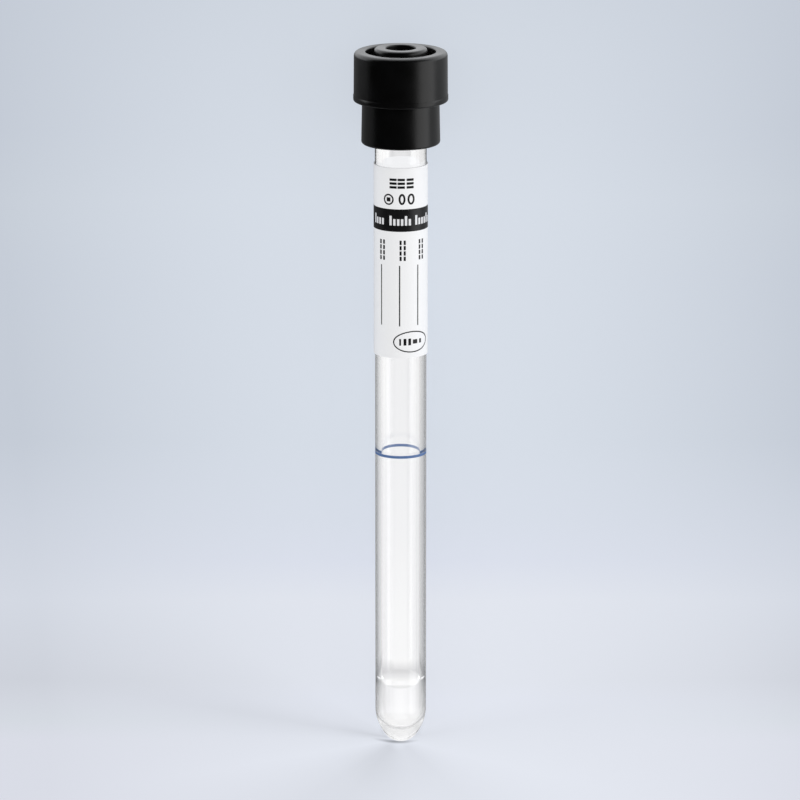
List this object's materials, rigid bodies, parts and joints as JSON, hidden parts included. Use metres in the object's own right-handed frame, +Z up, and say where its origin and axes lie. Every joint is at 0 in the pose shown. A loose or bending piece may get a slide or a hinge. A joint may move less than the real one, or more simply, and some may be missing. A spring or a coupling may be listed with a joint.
{
  "type": "blood collection tube",
  "caption": "Slim round-bottomed glass blood collection tube for sedimentation tests, lying on its side, with a pull-off moulded rubber stopper, a wrap label and a little liquid additive.",
  "frame": {"origin": "on the floor, below the middle of the tube as it lies on its side", "axes": "+X from the round glass end towards the stopper, +Z up; the label's printed face looks up"},
  "size_m": [0.1258, 0.0164, 0.0166],
  "materials": {
    "tube_glass": "clear, fire-polished",
    "stopper_rubber": "moulded, matt",
    "label_paper": "smooth coated paper",
    "additive_liquid": "clear liquid",
    "line_ink": "printed blue line on the glass",
    "print_ink": "black print on the label"
  },
  "bodies": {
    "tube": {"glass_tube": "tube_glass", "label": "label_paper", "citrate_solution": "additive_liquid"},
    "stopper": {"stopper": "stopper_rubber"}
  },
  "joints": [
    {"name": "stopper_pull", "type": "slide", "parent": "tube", "child": "stopper", "axis": [0.9994, 0, 0.0338], "range_m": [0, 0.018]}
  ]
}
